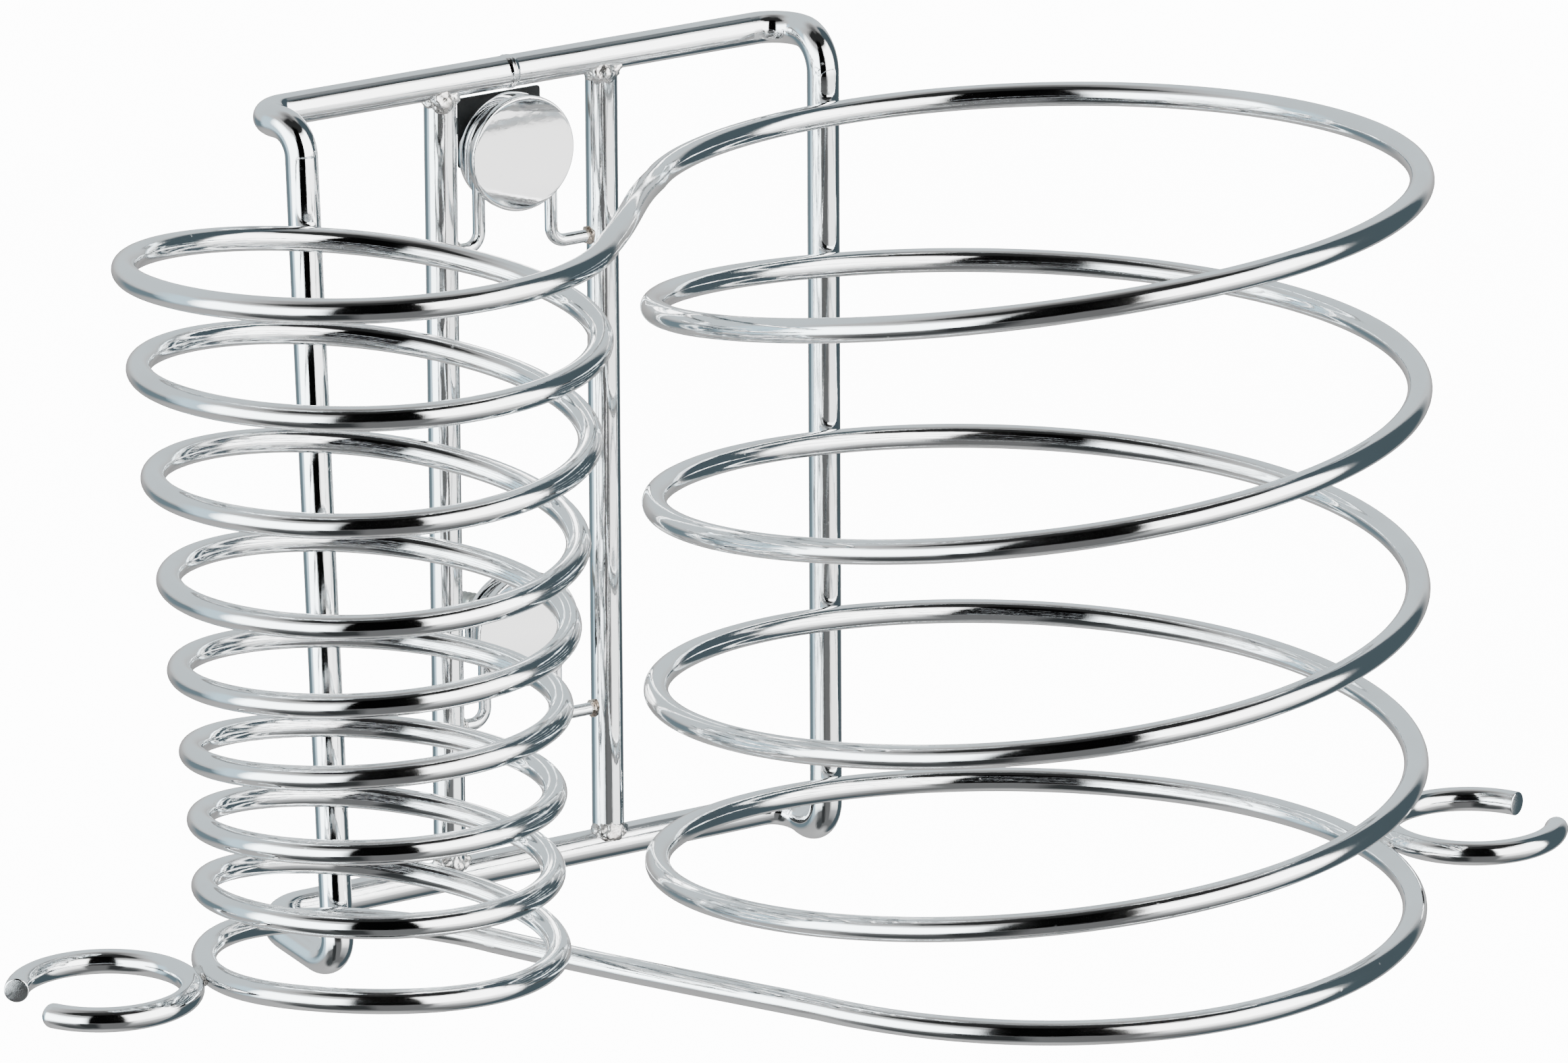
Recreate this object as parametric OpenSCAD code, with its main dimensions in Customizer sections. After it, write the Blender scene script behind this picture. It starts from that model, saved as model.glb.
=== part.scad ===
// Wall-hung wire holder for a hair dryer and hot styling tools.
// +Z is up, the wall is the plane y = 0 and the front faces -Y.
// The origin is on the wall, midway between the two wall studs.

/* [Wire] */
// Diameter of the wire of the wall frame and its uprights
frame_wire_d = 5.0; // [4.6:0.1:5.2]
// Diameter of the wire of the spirals and the cable hooks
spiral_wire_d = 3.8; // [3.4:0.1:4]
// Diameter of the thin wire of the two hanger arches
hanger_wire_d = 2.0; // [1.6:0.1:2]

/* [Wall frame] */
// Height of the top bar's centre line
frame_top_z = 50.4; // [50:0.1:52]
// Height of the bottom bar's centre line
frame_bottom_z = -75.8; // [-78:0.1:-75]
// Sideways place of the left leg at its top
left_leg_x = -43.2; // [-45:0.1:-42]
// How far the left leg leans outwards by its foot
left_leg_splay = 1.5; // [0:0.1:3]
// How far the left leg stands in front of the bars at its top
left_leg_top_reach = 9.8; // [9.6:0.1:11]
// How far the left leg stands in front of the bars at its foot
left_leg_foot_reach = 19.5; // [16:0.1:20]
// How far the bars reach out past the left leg
left_overhang = 2.3; // [0:0.1:2.4]
// How far the left leg's foot hangs below the bottom bar
left_foot_drop = 3.4; // [0:0.1:4]
// Sideways place of the right leg
right_leg_x = 48.6; // [47:0.1:50]
// How far the right leg stands in front of the bars
right_leg_reach = 11.0; // [11:0.1:12]
// How far the right leg's foot hangs below the bottom bar
right_foot_drop = 2.3; // [0:0.1:2.4]
// Sideways place of the left upright
left_upright_x = -13.0; // [-14:0.1:-12.5]
// Sideways place of the right upright
right_upright_x = 15.6; // [15:0.1:17]

/* [Dryer spiral] */
// Radius of the dryer spiral's centre line
dryer_r = 57.3; // [54:0.1:58]
// Sideways place of the dryer spiral's axis from the right leg
dryer_offset_x = -1.8; // [-3:0.1:0]

/* [Tool spiral] */
// How far round from the front the left leg touches the tool spiral, in degrees
tool_contact_angle = 17.4; // [10:0.1:25]

/* [Cable hooks] */
// Radius of a cable hook's centre line
hook_r = 13.0; // [11:0.1:14]
// Height of the left cable hook
left_hook_z = -67.0; // [-69:0.1:-63]
// Height of the right cable hook
right_hook_z = -68.8; // [-72.8:0.1:-66.8]

/* [Wall studs] */
// Distance between the two studs
stud_spacing = 75.8; // [75:0.1:77]
// Diameter of the polished cap
cap_d = 18.0; // [17:0.1:18.4]
// Thickness of the polished cap
cap_t = 1.7; // [1.5:0.1:2.4]
// Diameter of the neck that a hanger arch rests on
neck_d = 10.4; // [10:0.1:10.6]
// Diameter of the flange against the wall
flange_d = 17.4; // [16:0.1:18]
// Width of the dark backing plate
plate_w = 14.6; // [12:0.1:15]
// How far a screw goes into the wall
screw_reach = 17; // [15:1:25]

/* [Hidden] */

wire_chrome = [0.80, 0.82, 0.84];
thin_chrome = [0.72, 0.75, 0.78];
stud_chrome = [0.88, 0.88, 0.90];
zinc = [0.66, 0.66, 0.62];
dark_plate = [0.12, 0.13, 0.14];

$fn = 48;
weld_bite = 0.1;             // how far two welded wires melt into each other
upright_bite = 0.4;          // how far an upright's end runs into a bar
bar_y = -frame_wire_d / 2;   // the bars lie against the wall
touch = frame_wire_d / 2 + spiral_wire_d / 2 - weld_bite;
spiral_sides = 10;
spiral_step = 10;            // degrees between the sections of a swept spiral

upper_stud_z = stud_spacing / 2;
lower_stud_z = -stud_spacing / 2;

// Bend radii at each corner of the wall frame, first by the bar and then by the leg
top_right_bends = [5.4, 5.4];
bottom_right_bends = [4.9, 4.9];
bottom_left_bends = [6.5, 4.0];
top_left_bends = [4.0, 4.8];

// Stud, along -Y from the wall
plate_t = 0.5;
plate_x = -1.3;              // middle of the upper plate's width, from the stud
plate_top = 8.8;             // the upper plate's edges, up and down from the stud
plate_foot = -2.2;
flange_t = 0.7;
neck_end = 3.8;              // the neck's step, where the cap seats
pilot_l = 1.2;               // the threaded pilot inside the cap
pilot_d = 8.4;
cap_clearance = 0.05;
screw_d = 3.2;
screw_shank_d = 2.6;  // where it has no thread, inside the stud
screw_clearance = 0.05;
screw_head_d = 6.2;
screw_head_t = 1.4;
screw_slot = [0.8, 0.6];     // width and depth
counterbore_d = 6.6;
counterbore_depth = 2.6;

// Hanger arch: a thin wire bent over the neck, its feet turned out to the uprights
hanger_y = -2.5;
hanger_clearance = 0.03;
hanger_inner_r = neck_d / 2 + 0.2;
hanger_r = hanger_inner_r + hanger_wire_d / 2;
hanger_centre_drop = hanger_inner_r - neck_d / 2 - hanger_clearance;
hanger_foot_drop = [14.3, 15.6];  // left and right foot
hanger_foot_bend = 2.4;
hanger_bite = 0.3;

// Heights of the dryer spiral at its back and its front, in turn, going down
dryer_heights = [39.7, 42.5, 15.8, 8.0, -12.5, -24.3, -41.0, -51.4, -68.9, -71.8, -74.4];
dryer_tilt = [-0.9, 1.6, -0.4];
// Heights of the tool spiral at its front and its back, in turn, going down
tool_heights = [
    44.4, 36.0, 27.4, 21.7, 10.9, 5.1, -5.4, -10.3, -17.7, -25.1,
    -29.4, -38.8, -42.0, -49.5, -54.0, -59.8, -65.4, -69.0, -66.6
];
tool_tilt = [-1.9, 0.6, -0.1];
// Radius of the tool spiral, turn by turn: it narrows going down
tool_radii = [35.4, 33.6, 31.9, 29.9, 28.7, 27.2, 26.3, 26.0, 26.6];
// A spiral's last turn dips or lifts a little by its cable hook: turn, height, spread in degrees
dryer_lift = [1542, 2.0, 60];
tool_lift = [2797, -1.6, 45];
half_turn = 180;
full_turn = 360;
tool_top_turn = -200;        // about where the two links leave the tool spiral
tool_bottom_turn = 2880;
dryer_turns = 4;
cross_link_steps = 8;
bottom_link_steps = 10;

// The left leg leans, and the tool spiral follows it
function leg_share(z) = (frame_top_z - z) / (frame_top_z - frame_bottom_z);
function left_leg_at(z) = [
    left_leg_x - left_leg_splay * leg_share(z),
    bar_y - left_leg_top_reach - (left_leg_foot_reach - left_leg_top_reach) * leg_share(z),
    z
];

// Smooth curve through evenly spaced values
function before(v) = 2 * v[0] - v[1];
function after(v) = 2 * v[len(v) - 1] - v[len(v) - 2];
function cubic(a, b, c, d, u) =
    b + u / 2 * (c - a + u * (2 * a - 5 * b + 4 * c - d + u * (3 * (b - c) + d - a)));
function smooth(v, t) =
    let (i = min(max(floor(t), 0), len(v) - 2))
    cubic(i > 0 ? v[i - 1] : before(v), v[i], v[i + 1], i + 2 < len(v) ? v[i + 2] : after(v), t - i);
function tilt(c, deg) =
    let (t = deg / full_turn)
    (c[0] + c[1] * t + c[2] * t * t) * sin(deg);

// Points of the spirals: 0 degrees is the back of the first turn, and the wire goes down clockwise
function lift(l, deg) = l[1] * exp(-pow((deg - l[0]) / l[2], 2));
function tool_z(deg) =
    smooth(tool_heights, (deg + half_turn) / half_turn) + tilt(tool_tilt, deg) + lift(tool_lift, deg);
function tool_r(deg) = smooth(tool_radii, (deg + half_turn / 2) / full_turn);
function tool_centre(deg) =
    let (leg = left_leg_at(tool_z(deg)), gap = tool_r(deg) + touch)
    [leg.x - gap * sin(tool_contact_angle), leg.y - gap * cos(tool_contact_angle)];
function tool_point(deg) =
    let (c = tool_centre(deg))
    [c.x + tool_r(deg) * sin(deg), c.y + tool_r(deg) * cos(deg), tool_z(deg)];
dryer_centre = [
    right_leg_x + dryer_offset_x,
    bar_y - right_leg_reach - sqrt(pow(dryer_r + touch, 2) - pow(dryer_offset_x, 2))
];
function dryer_z(deg) =
    smooth(dryer_heights, deg / half_turn) + tilt(dryer_tilt, deg) + lift(dryer_lift, deg);
function dryer_point(deg) = [
    dryer_centre.x + dryer_r * sin(deg), dryer_centre.y + dryer_r * cos(deg), dryer_z(deg)
];

// Direction, from circle a, of the point where a line leaves it to cross over to circle b
function crossing(a, ra, b, rb, side) =
    let (d = b - a)
    atan2(d.x, d.y) + side * acos((ra + rb) / norm(d));
cross_angle = crossing(tool_centre(tool_top_turn), tool_r(tool_top_turn), dryer_centre, dryer_r, 1);
bottom_angle = crossing(dryer_centre, dryer_r, tool_centre(tool_bottom_turn), tool_r(tool_bottom_turn), -1);
tool_start = cross_angle - full_turn;
dryer_start = cross_angle - half_turn;
bottom_turn = bottom_angle < 0 ? bottom_angle + full_turn : bottom_angle;
dryer_end = dryer_turns * full_turn + bottom_turn;
tool_end = tool_bottom_turn + bottom_turn - half_turn;

function arc_steps(from, to) = ceil(abs(to - from) / spiral_step);
tool_points = let (n = arc_steps(tool_start, tool_end))
    [for (i = [0:n]) tool_point(tool_end + (tool_start - tool_end) * i / n)];
dryer_coil = let (n = arc_steps(dryer_start, dryer_end))
    [for (i = [0:n]) dryer_point(dryer_start + (dryer_end - dryer_start) * i / n)];

// A link runs smoothly from the end of wire a to the start of wire b
function unit(v) = v / norm(v);
function hermite(p, dp, q, dq, u) =
    (2 * pow(u, 3) - 3 * pow(u, 2) + 1) * p + (pow(u, 3) - 2 * pow(u, 2) + u) * dp
    + (3 * pow(u, 2) - 2 * pow(u, 3)) * q + (pow(u, 3) - pow(u, 2)) * dq;
function last(v) = v[len(v) - 1];
function link(a, b, steps) =
    let (
        p = last(a),
        q = b[0],
        reach = norm(q - p),
        dp = unit(p - a[len(a) - 2]) * reach,
        dq = unit(b[1] - q) * reach
    )
    [for (i = [1:steps]) hermite(p, dp, q, dq, i / (steps + 1))];
dryer_points = concat(
    [last(tool_points)], link(tool_points, dryer_coil, cross_link_steps),
    dryer_coil, link(dryer_coil, tool_points, bottom_link_steps), [tool_points[0]]
);

// A round wire swept along points; the wire never runs straight up or down.
// from and to are the directions at its two ends.
module swept_wire(points, d, from, to) {
    n = len(points);
    directions = [
        for (i = [0:n - 1])
            i == 0 ? from : i == n - 1 ? to : unit(unit(points[i] - points[i - 1]) + unit(points[i + 1] - points[i]))
    ];
    vertices = [
        for (i = [0:n - 1])
            let (across = unit(cross(directions[i], [0, 0, 1])), up = cross(across, directions[i]))
            for (k = [0:spiral_sides - 1])
                let (angle = full_turn * k / spiral_sides)
                points[i] + (across * cos(angle) + up * sin(angle)) * d / 2
    ];
    skin = [
        for (i = [0:n - 2], k = [0:spiral_sides - 1])
            let (a = i * spiral_sides, b = a + spiral_sides, next = (k + 1) % spiral_sides)
            each [[a + k, a + next, b + next], [a + k, b + next, b + k]]
    ];
    start_cap = [[for (k = [spiral_sides - 1:-1:0]) k]];
    end_cap = [[for (k = [0:spiral_sides - 1]) (n - 1) * spiral_sides + k]];
    polyhedron(vertices, concat(skin, start_cap, end_cap));
}

// Turn angle at b, and the length that a bend of radius r takes off each side of it
function turn(a, b, c) = acos(unit(b - a) * unit(c - b));
function trim(a, b, c, r) = r * tan(turn(a, b, c) / 2);

module straight_wire(a, b, d) {
    v = b - a;
    if (norm(v) > 0.01)
        translate(a)
            rotate([0, acos(v.z / norm(v)), atan2(v.y, v.x)])
                cylinder(d = d, h = norm(v));
}

module wire_bend(a, b, c, r, d) {
    along = unit(b - a);
    axis = unit(cross(along, c - b));
    inward = cross(axis, along);
    centre = b - along * trim(a, b, c, r) + inward * r;
    multmatrix([
        [-inward.x, along.x, axis.x, centre.x],
        [-inward.y, along.y, axis.y, centre.y],
        [-inward.z, along.z, axis.z, centre.z]
    ])
        rotate_extrude(angle = turn(a, b, c))
            translate([r, 0])
                circle(d = d);
}

// The straights of a bent loop are a hair thinner than its bends and run a little into them
straight_bite = 0.15;
straight_slack = 0.04;

// A wire bent at each corner; radii holds one bend radius for each corner
module bent_loop(corners, radii, d) {
    n = len(corners);
    for (i = [0:n - 1]) {
        a = corners[(i + n - 1) % n];
        b = corners[i];
        c = corners[(i + 1) % n];
        e = corners[(i + 2) % n];
        wire_bend(a, b, c, radii[i], d);
        straight_wire(
            b + unit(c - b) * (trim(a, b, c, radii[i]) - straight_bite),
            c - unit(c - b) * (trim(b, c, e, radii[(i + 1) % n]) - straight_bite),
            d - straight_slack
        );
    }
}

module bent_wire(corners, radii, d) {
    n = len(corners);
    for (i = [1:n - 2])
        wire_bend(corners[i - 1], corners[i], corners[i + 1], radii[i - 1], d);
    for (i = [0:n - 2]) {
        b = corners[i];
        c = corners[i + 1];
        start = i == 0 ? 0 : trim(corners[i - 1], b, c, radii[i - 1]);
        end = i == n - 2 ? 0 : trim(b, c, corners[i + 2], radii[i]);
        straight_wire(b + unit(c - b) * start, c - unit(c - b) * end, d);
    }
}

module wall_frame() {
    left_top = left_leg_at(frame_top_z);
    left_foot = left_leg_at(frame_bottom_z - left_foot_drop);
    right_y = bar_y - right_leg_reach;
    color(wire_chrome)
        bent_loop(
            [
                [right_leg_x, bar_y, frame_top_z],
                [right_leg_x, right_y, frame_top_z],
                [right_leg_x, right_y, frame_bottom_z - right_foot_drop],
                [right_leg_x, bar_y, frame_bottom_z],
                [left_foot.x - left_overhang, bar_y, frame_bottom_z],
                left_foot,
                left_top,
                [left_top.x - left_overhang, bar_y, frame_top_z]
            ],
            concat(
                top_right_bends, [bottom_right_bends[1], bottom_right_bends[0]],
                bottom_left_bends, [top_left_bends[1], top_left_bends[0]]
            ),
            frame_wire_d
        );
}

module upright(x) {
    color(wire_chrome)
        translate([x, bar_y, frame_bottom_z + frame_wire_d / 2 - upright_bite])
            cylinder(
                d = frame_wire_d,
                h = frame_top_z - frame_bottom_z - frame_wire_d + 2 * upright_bite
            );
}

module left_upright() {
    upright(left_upright_x);
}

module right_upright() {
    upright(right_upright_x);
}

module hanger(stud_z) {
    left_foot_z = stud_z - hanger_foot_drop[0];
    right_foot_z = stud_z - hanger_foot_drop[1];
    top_z = stud_z - hanger_centre_drop + hanger_r;
    inner_face = frame_wire_d / 2 - hanger_bite;
    color(thin_chrome)
        bent_wire(
            [
                [left_upright_x + inner_face, hanger_y, left_foot_z],
                [-hanger_r, hanger_y, left_foot_z],
                [-hanger_r, hanger_y, top_z],
                [hanger_r, hanger_y, top_z],
                [hanger_r, hanger_y, right_foot_z],
                [right_upright_x - inner_face, hanger_y, right_foot_z]
            ],
            [hanger_foot_bend, hanger_r, hanger_r, hanger_foot_bend],
            hanger_wire_d
        );
}

module upper_hanger() {
    hanger(upper_stud_z);
}

module lower_hanger() {
    hanger(lower_stud_z);
}

module dryer_spiral() {
    n = len(tool_points);
    color(wire_chrome)
        swept_wire(
            dryer_points, spiral_wire_d,
            unit(tool_points[n - 1] - tool_points[n - 2]), unit(tool_points[1] - tool_points[0])
        );
}

module tool_spiral() {
    n = len(tool_points);
    color(wire_chrome)
        swept_wire(
            tool_points, spiral_wire_d,
            unit(tool_points[1] - tool_points[0]), unit(tool_points[n - 1] - tool_points[n - 2])
        );
}

// An open ring of wire; from and to are angles from +X, seen from above
module cable_hook(centre, z, from, to) {
    color(wire_chrome)
        translate([centre.x, centre.y, z])
            rotate([0, 0, from])
                rotate_extrude(angle = to - from)
                    translate([hook_r, 0])
                        circle(d = spiral_wire_d);
}

// The hooks are welded to the outside of the lowest turns, the left one a little under its
// turn and the right one on top of it
function hook_reach(rise) = hook_r + sqrt(pow(spiral_wire_d - weld_bite, 2) - pow(rise, 2));
left_hook_turn = 2803;
right_hook_turn = 1539;
left_hook_span = [-160.5, 147.5];
right_hook_span = [21.5, 327.5];

module left_cable_hook() {
    c = tool_centre(left_hook_turn);
    reach = tool_r(left_hook_turn) + hook_reach(left_hook_z - tool_z(left_hook_turn));
    cable_hook(
        [c.x + reach * sin(left_hook_turn), c.y + reach * cos(left_hook_turn)],
        left_hook_z, left_hook_span[0], left_hook_span[1]
    );
}

module right_cable_hook() {
    reach = dryer_r + hook_reach(right_hook_z - dryer_z(right_hook_turn));
    cable_hook(
        [
            dryer_centre.x + reach * sin(right_hook_turn),
            dryer_centre.y + reach * cos(right_hook_turn)
        ],
        right_hook_z, right_hook_span[0], right_hook_span[1]
    );
}

// A disc or rod of a stud, lying along -Y between two distances from the wall
module stud_round(d, from, to) {
    translate([0, -from, 0])
        rotate([90, 0, 0])
            cylinder(d = d, h = to - from);
}

// The same plate behind both studs, turned upside down behind the lower one
module backing_plate(z, turned) {
    color(dark_plate)
        translate([0, 0, z])
            rotate([0, turned, 0])
                difference() {
                    translate([plate_x - plate_w / 2, -plate_t, plate_foot])
                        cube([plate_w, plate_t, plate_top - plate_foot]);
                    stud_round(screw_d + 2 * screw_clearance, -1, plate_t + 1);
                }
}

module upper_backing_plate() {
    backing_plate(upper_stud_z, 0);
}

module lower_backing_plate() {
    backing_plate(lower_stud_z, half_turn);
}

module stud_base(z) {
    pilot_end = neck_end + pilot_l;
    color(stud_chrome)
        translate([0, 0, z])
            difference() {
                union() {
                    stud_round(flange_d, plate_t, plate_t + flange_t);
                    stud_round(neck_d, plate_t, neck_end);
                    stud_round(pilot_d, plate_t, pilot_end);
                }
                stud_round(screw_d + 2 * screw_clearance, 0, neck_end + 2);
                stud_round(counterbore_d, pilot_end - counterbore_depth, pilot_end + 1);
            }
}

module upper_stud_base() {
    stud_base(upper_stud_z);
}

module lower_stud_base() {
    stud_base(lower_stud_z);
}

module stud_cap(z) {
    cap_back = neck_end + cap_clearance / 2;
    recess_end = neck_end + pilot_l + cap_clearance;
    color(stud_chrome)
        translate([0, 0, z])
            difference() {
                stud_round(cap_d, cap_back, cap_back + cap_t);
                stud_round(pilot_d + 2 * cap_clearance, cap_back - 1, recess_end);
            }
}

module upper_stud_cap() {
    stud_cap(upper_stud_z);
}

module lower_stud_cap() {
    stud_cap(lower_stud_z);
}

module wall_screw(z) {
    head_back = neck_end + pilot_l - counterbore_depth;
    head_front = head_back + screw_head_t;
    color(zinc)
        translate([0, 0, z])
            difference() {
                union() {
                    stud_round(screw_d, -screw_reach, 0);
                    stud_round(screw_shank_d, -1, head_back + 0.2);
                    stud_round(screw_head_d, head_back, head_front);
                }
                translate([-screw_head_d, -head_front - 1, -screw_slot[0] / 2])
                    cube([2 * screw_head_d, 1 + screw_slot[1], screw_slot[0]]);
            }
}

module upper_wall_screw() {
    wall_screw(upper_stud_z);
}

module lower_wall_screw() {
    wall_screw(lower_stud_z);
}

wall_frame();
left_upright();
right_upright();
upper_hanger();
lower_hanger();
dryer_spiral();
tool_spiral();
left_cable_hook();
right_cable_hook();
upper_backing_plate();
lower_backing_plate();
upper_stud_base();
lower_stud_base();
upper_stud_cap();
lower_stud_cap();
upper_wall_screw();
lower_wall_screw();
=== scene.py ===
import math

import bmesh
import bpy
from mathutils import Matrix, Vector, noise


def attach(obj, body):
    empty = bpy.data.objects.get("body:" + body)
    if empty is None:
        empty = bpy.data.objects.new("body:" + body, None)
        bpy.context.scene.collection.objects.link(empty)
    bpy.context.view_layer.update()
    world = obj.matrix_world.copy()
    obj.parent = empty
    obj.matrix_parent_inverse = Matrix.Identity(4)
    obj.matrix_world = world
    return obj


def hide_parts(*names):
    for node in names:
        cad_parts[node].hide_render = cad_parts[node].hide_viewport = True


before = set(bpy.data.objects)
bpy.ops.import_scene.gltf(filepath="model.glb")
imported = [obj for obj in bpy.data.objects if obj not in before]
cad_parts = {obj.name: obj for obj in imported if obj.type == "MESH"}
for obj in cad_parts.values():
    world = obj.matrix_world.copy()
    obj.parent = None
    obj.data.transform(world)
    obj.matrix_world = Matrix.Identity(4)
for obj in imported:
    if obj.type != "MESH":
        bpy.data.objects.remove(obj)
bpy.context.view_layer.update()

MM = 0.001
TURN = 360.0
HALF_TURN = 180.0


# ---------------------------------------------------------------- the holder's dimensions, in mm

FRAME_WIRE = 5.0
SPIRAL_WIRE = 3.8
HANGER_WIRE = 2.0
WELD_BITE = 0.1
BAR_Y = -FRAME_WIRE / 2
FRAME_TOP = 50.4
FRAME_BOTTOM = -75.8
LEFT_LEG_X = -43.2
LEFT_LEG_SPLAY = 1.5
LEFT_LEG_REACH = (9.8, 19.5)
RIGHT_LEG_X = 48.6
RIGHT_LEG_REACH = 11.0
LEFT_OVERHANG = 2.3
LEFT_FOOT_DROP = 3.4
RIGHT_FOOT_DROP = 2.3
LEFT_UPRIGHT_X = -13.0
RIGHT_UPRIGHT_X = 15.6
FRAME_BENDS = [5.4, 5.4, 4.9, 4.9, 6.5, 4.0, 4.8, 4.0]
STUD_SPACING = 75.8
CAP_D = 18.0
CAP_T = 1.7
NECK_D = 10.4
FLANGE_D = 17.4
FLANGE_T = 0.7
PLATE_T = 0.5
PLATE_X = (-8.6, 6.0)
PLATE_Z = (-2.2, 8.8)
NECK_END = 3.8
PILOT_D = 8.4
PILOT_L = 1.2
SCREW_REACH = 17.0
HANGER_Y = -2.5
HANGER_R = NECK_D / 2 + 0.2 + HANGER_WIRE / 2
HANGER_DROP = 0.17
HANGER_FOOT_DROP = (14.3, 15.6)
HANGER_FOOT_BEND = 2.4
HOOK_R = 13.0
SCREW_BORE_R = 1.65
COUNTERBORE_R = 3.3
COUNTERBORE_DEPTH = 2.6
CAP_GAP = 0.025
CAP_RECESS_GAP = 0.05
CAP_EDGE_R = 0.34
CAP_DOME = 0.16
PLATE_CORNER = 0.6
PLATE_CHAMFER = 0.12
THREAD_R = 1.6
THREAD_PITCH = 1.25
SHANK_R = 1.28
SCREW_HEAD_R = 3.1

# heights go half turn by half turn, the tool spiral's radii turn by turn, tilts as powers of the turn
DRYER_R = 57.3
DRYER_OFFSET_X = -1.8
DRYER_HEIGHTS = [39.7, 42.5, 15.8, 8.0, -12.5, -24.3, -41.0, -51.4, -68.9, -71.8, -74.4]
DRYER_TILT = (-0.9, 1.6, -0.4)
TOOL_HEIGHTS = [44.4, 36.0, 27.4, 21.7, 10.9, 5.1, -5.4, -10.3, -17.7, -25.1,
                -29.4, -38.8, -42.0, -49.5, -54.0, -59.8, -65.4, -69.0, -66.6]
TOOL_TILT = (-1.9, 0.6, -0.1)
TOOL_RADII = [35.4, 33.6, 31.9, 29.9, 28.7, 27.2, 26.3, 26.0, 26.6]
# a spiral's last turn dips or lifts a little by its cable hook: turn, height, spread in degrees
DRYER_LIFT = (1542, 2.0, 60)
TOOL_LIFT = (2797, -1.6, 45)
TOOL_CONTACT = 17.4
TOUCH = FRAME_WIRE / 2 + SPIRAL_WIRE / 2 - WELD_BITE


# ---------------------------------------------------------------- the wires' routes

def smooth(values, t):
    """Catmull-Rom curve through evenly spaced values."""
    i = min(max(math.floor(t), 0), len(values) - 2)
    u = t - i
    a = values[i - 1] if i > 0 else 2 * values[0] - values[1]
    b, c = values[i], values[i + 1]
    d = values[i + 2] if i + 2 < len(values) else 2 * values[-1] - values[-2]
    return b + u / 2 * (c - a + u * (2 * a - 5 * b + 4 * c - d + u * (3 * (b - c) + d - a)))


def tilt(c, deg):
    t = deg / TURN
    return (c[0] + c[1] * t + c[2] * t * t) * math.sin(math.radians(deg))


def lift(bump, deg):
    return bump[1] * math.exp(-((deg - bump[0]) / bump[2]) ** 2)


def left_leg_at(z):
    share = (FRAME_TOP - z) / (FRAME_TOP - FRAME_BOTTOM)
    reach = LEFT_LEG_REACH[0] + (LEFT_LEG_REACH[1] - LEFT_LEG_REACH[0]) * share
    return Vector((LEFT_LEG_X - LEFT_LEG_SPLAY * share, BAR_Y - reach, z))


def polar(centre, r, deg, z):
    a = math.radians(deg)
    return Vector((centre.x + r * math.sin(a), centre.y + r * math.cos(a), z))


def tool_r(deg):
    return smooth(TOOL_RADII, (deg + HALF_TURN / 2) / TURN)


def tool_z(deg):
    return smooth(TOOL_HEIGHTS, (deg + HALF_TURN) / HALF_TURN) + tilt(TOOL_TILT, deg) + lift(TOOL_LIFT, deg)


def tool_centre(deg):
    leg = left_leg_at(tool_z(deg))
    gap = tool_r(deg) + TOUCH
    return polar(leg, -gap, TOOL_CONTACT, 0)


def tool_point(deg):
    return polar(tool_centre(deg), tool_r(deg), deg, tool_z(deg))


DRYER_CENTRE = Vector((
    RIGHT_LEG_X + DRYER_OFFSET_X,
    BAR_Y - RIGHT_LEG_REACH - math.sqrt((DRYER_R + TOUCH) ** 2 - DRYER_OFFSET_X ** 2), 0))


def dryer_point(deg):
    z = smooth(DRYER_HEIGHTS, deg / HALF_TURN) + tilt(DRYER_TILT, deg) + lift(DRYER_LIFT, deg)
    return polar(DRYER_CENTRE, DRYER_R, deg, z)


def crossing(a, ra, b, rb, side):
    """Direction, from circle a, of the point where a straight line leaves it to cross to circle b."""
    d = b - a
    return math.degrees(math.atan2(d.x, d.y)) + side * math.degrees(math.acos((ra + rb) / d.xy.length))


def spread(fn, start, end, step):
    n = math.ceil(abs(end - start) / step)
    return [fn(start + (end - start) * i / n) for i in range(n + 1)]


def link(a, b, steps):
    """Points that run smoothly from the end of route a to the start of route b."""
    p, q = a[-1], b[0]
    reach = (q - p).length
    dp = (p - a[-2]).normalized() * reach
    dq = (b[1] - q).normalized() * reach
    points = []
    for i in range(1, steps + 1):
        u = i / (steps + 1)
        points.append((2 * u ** 3 - 3 * u ** 2 + 1) * p + (u ** 3 - 2 * u ** 2 + u) * dp
                      + (3 * u ** 2 - 2 * u ** 3) * q + (u ** 3 - u ** 2) * dq)
    return points


def bent_route(corners, radii, closed=False, step=6.0):
    """Points on the round bends that join straight runs, a few degrees apart; the straights get no points
    between the bends.
    """
    n = len(corners)
    points = []
    for i in range(n):
        if not closed and i in (0, n - 1):
            points.append(corners[i].copy())
            continue
        a, b, c = corners[i - 1], corners[i], corners[(i + 1) % n]
        u, w = (b - a).normalized(), (c - b).normalized()
        r = radii[i if closed else i - 1]
        angle = u.angle(w)
        axis = u.cross(w).normalized()
        centre = b - u * r * math.tan(angle / 2) + axis.cross(u) * r
        spoke = -axis.cross(u) * r
        count = max(3, math.ceil(math.degrees(angle) / step))
        for k in range(count + 1):
            points.append(centre + Matrix.Rotation(angle * k / count, 3, axis) @ spoke)
    return points


def filled(points, gap, closed=False):
    """The same route with extra points wherever two are further apart than gap."""
    out = []
    pairs = list(zip(points, points[1:] + points[:1])) if closed else list(zip(points, points[1:]))
    for p, q in pairs:
        if (q - p).length < 1e-4:
            continue
        n = max(1, math.ceil((q - p).length / gap))
        out += [p.lerp(q, k / n) for k in range(n)]
    return out if closed else out + [points[-1]]


# ---------------------------------------------------------------- mesh helpers

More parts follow.
